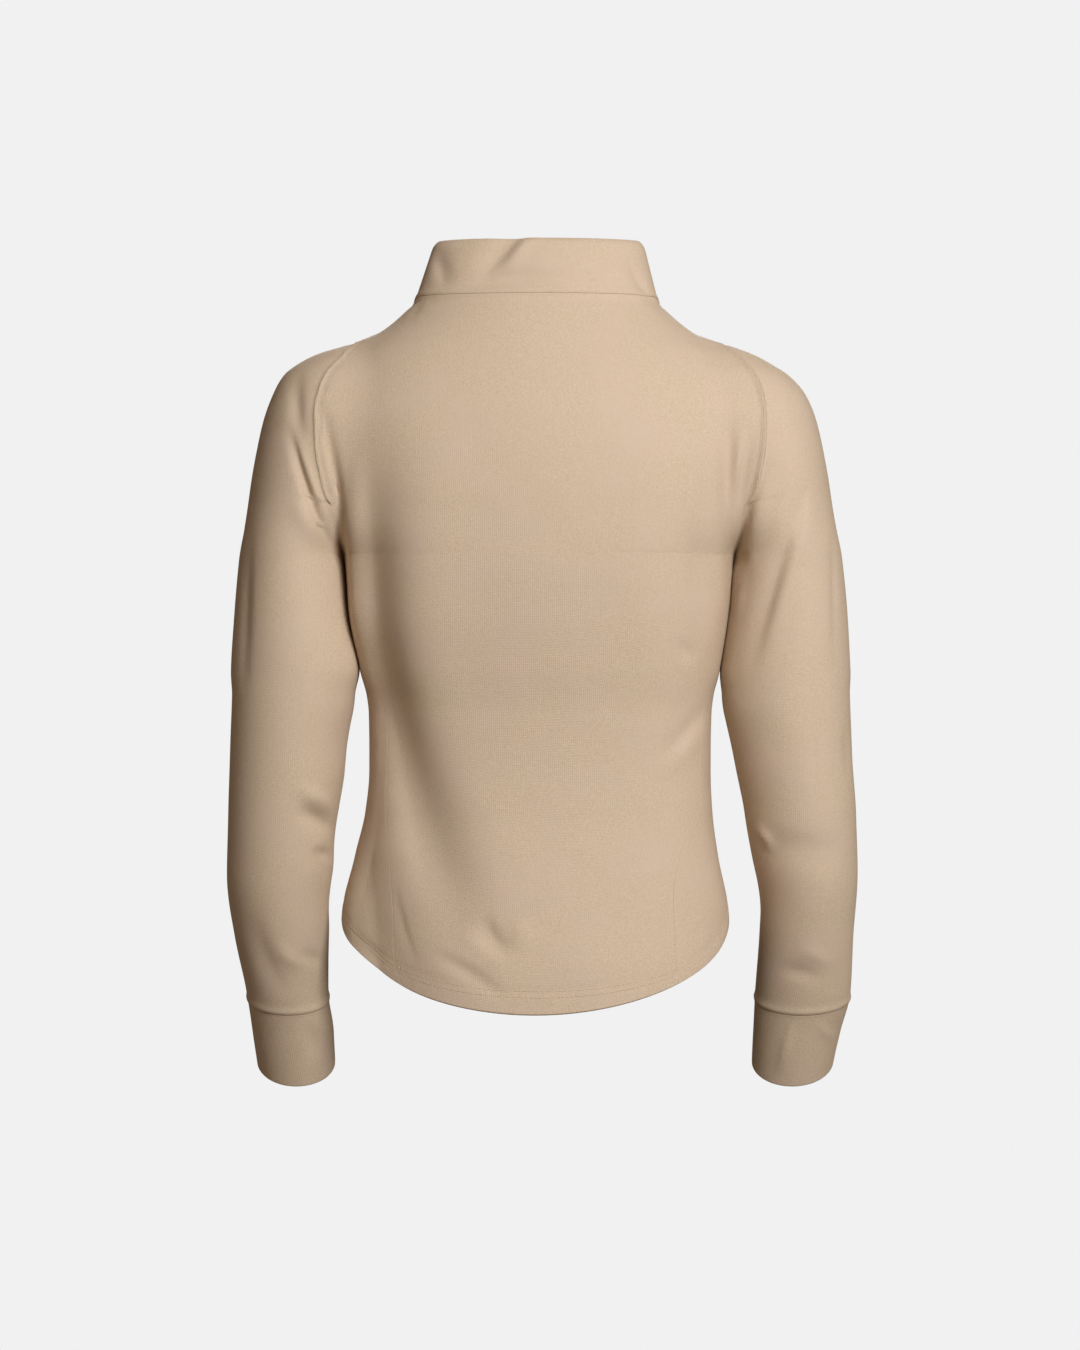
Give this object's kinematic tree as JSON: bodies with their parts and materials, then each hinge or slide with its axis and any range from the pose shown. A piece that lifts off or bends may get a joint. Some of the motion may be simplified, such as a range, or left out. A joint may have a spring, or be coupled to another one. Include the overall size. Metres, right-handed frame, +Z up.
{
  "type": "women's fitted fleece sweater",
  "caption": "Fitted long-sleeved fleece sweater with raglan sleeves, a stand collar, cuffs and a curved hem, filled out as it is worn.",
  "frame": {"origin": "middle of the neck, level with the collar seam at the nape, where the wearer's neck and shoulders hold the sweater up", "axes": "+Z up along the body; -Y is the front, +Y the back; +X is the wearer's left"},
  "size_m": [0.5183, 0.2255, 0.6973],
  "materials": {
    "back_panel": "smooth-faced beige fleece",
    "front_panel": "smooth-faced beige fleece",
    "left_sleeve": "smooth-faced beige fleece",
    "right_sleeve": "smooth-faced beige fleece",
    "left_cuff": "smooth-faced beige fleece, folded double",
    "right_cuff": "smooth-faced beige fleece, folded double",
    "collar": "smooth-faced beige fleece, folded double"
  },
  "bodies": {
    "root": {"back_panel": "back_panel", "front_panel": "front_panel", "left_sleeve": "left_sleeve", "right_sleeve": "right_sleeve", "left_cuff": "left_cuff", "right_cuff": "right_cuff", "collar": "collar"}
  },
  "joints": []
}
